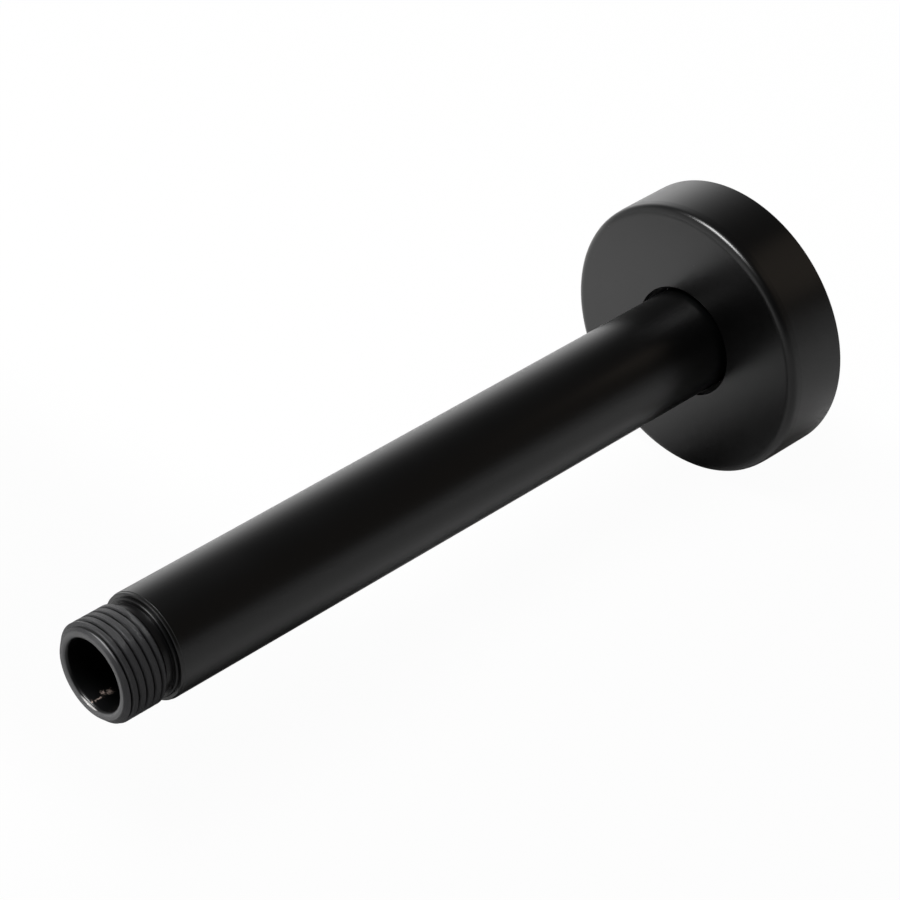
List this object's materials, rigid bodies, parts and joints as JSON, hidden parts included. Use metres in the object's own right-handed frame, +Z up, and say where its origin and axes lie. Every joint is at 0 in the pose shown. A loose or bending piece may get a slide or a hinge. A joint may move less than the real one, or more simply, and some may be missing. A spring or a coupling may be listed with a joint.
{
  "type": "shower arm",
  "caption": "Straight round shower arm with a male thread at each end, a through waterway, and a round cover flange that slides on the tube and is gripped by an O-ring.",
  "frame": {"origin": "centre of the cover flange's back face, on the arm's axis and inside the inlet thread: the wall plane", "axes": "+Y along the arm into the wall, so the outlet points to -Y; +Z up"},
  "size_m": [0.06, 0.1864, 0.06],
  "materials": {
    "black_coating": "satin black coating on brass",
    "black_rubber": "matte black rubber"
  },
  "bodies": {
    "arm": {"arm_tube": "black_coating", "outlet_nipple": "black_coating", "inlet_nipple": "black_coating"},
    "seal": {"o_ring": "black_rubber"},
    "cover": {"flange": "black_coating"}
  },
  "joints": [
    {"name": "cover_slide", "type": "slide", "parent": "arm", "child": "seal", "axis": [0, -1, 0], "range_m": [0, 0.145]},
    {"name": "cover_turn", "type": "hinge", "parent": "seal", "child": "cover", "pos_m": [0, -0.01252, 0], "axis": [0, -1, 0], "continuous": true}
  ]
}
